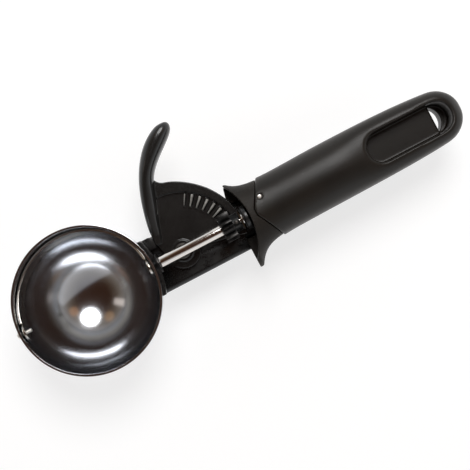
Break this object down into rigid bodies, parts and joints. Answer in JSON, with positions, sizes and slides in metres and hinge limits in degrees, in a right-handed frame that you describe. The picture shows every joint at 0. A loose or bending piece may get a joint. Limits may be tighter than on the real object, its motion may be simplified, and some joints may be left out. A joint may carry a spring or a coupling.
{
  "type": "lever ice cream scoop",
  "caption": "Thumb-lever ice cream scoop: a round bowl, a curved blade swept by a toothed lever and pinion, and a moulded grip with guard and hanging eye.",
  "frame": {"origin": "centre of the hanging eye at the end of the grip, on the grip's axis", "axes": "+X runs from the bowl to the end of the handle, +Z through the eye and out of the mouth of the bowl, +Y to the side of the thumb lever"},
  "size_m": [0.2196, 0.0876, 0.0394],
  "materials": {
    "bowl_steel": "polished stainless steel, faint turning lines",
    "blade_steel": "polished stainless steel strip",
    "bright_steel": "bright drawn stainless steel",
    "spring_steel": "spring steel",
    "bush_bronze": "sintered bronze",
    "dark_steel": "blackened steel",
    "black_frame": "gloss black coated steel",
    "black_lever": "satin black coated casting",
    "handle_plastic": "satin black-brown moulded plastic"
  },
  "bodies": {
    "holder": {"bowl": "bowl_steel", "bowl_saddle": "black_frame", "far_pivot_pin": "bright_steel", "frame": "black_frame", "front_bushing": "dark_steel", "rear_bushing": "dark_steel", "lever_rivet": "bright_steel", "pivot_washer": "bright_steel", "push_nut": "spring_steel", "return_spring": "spring_steel", "guard": "handle_plastic", "grip": "handle_plastic", "handle_pin": "bright_steel"},
    "lever": {"lever": "black_lever", "lever_bush": "bush_bronze"},
    "wiper": {"wiper_shaft": "bright_steel", "wiper_blade": "blade_steel", "pinion": "dark_steel", "pinion_pin": "bright_steel", "retaining_clip": "spring_steel", "thrust_washer": "bush_bronze"}
  },
  "joints": [
    {"name": "lever_press", "type": "hinge", "parent": "holder", "child": "lever", "pos_m": [-0.1259, 0, 0], "axis": [0, 0, -1], "range_deg": [0, 39], "stiffness_Nm_per_rad": 0.25, "springref_deg": -22.92, "deforming": ["return_spring"]},
    {"name": "wiper_sweep", "type": "hinge", "parent": "holder", "child": "wiper", "pos_m": [-0.1725, 0, 0.006], "axis": [-1, 0, 0], "range_deg": [0, 156]}
  ],
  "couplings": [
    {"joint": "wiper_sweep", "follows": "lever_press", "ratio": 4}
  ]
}
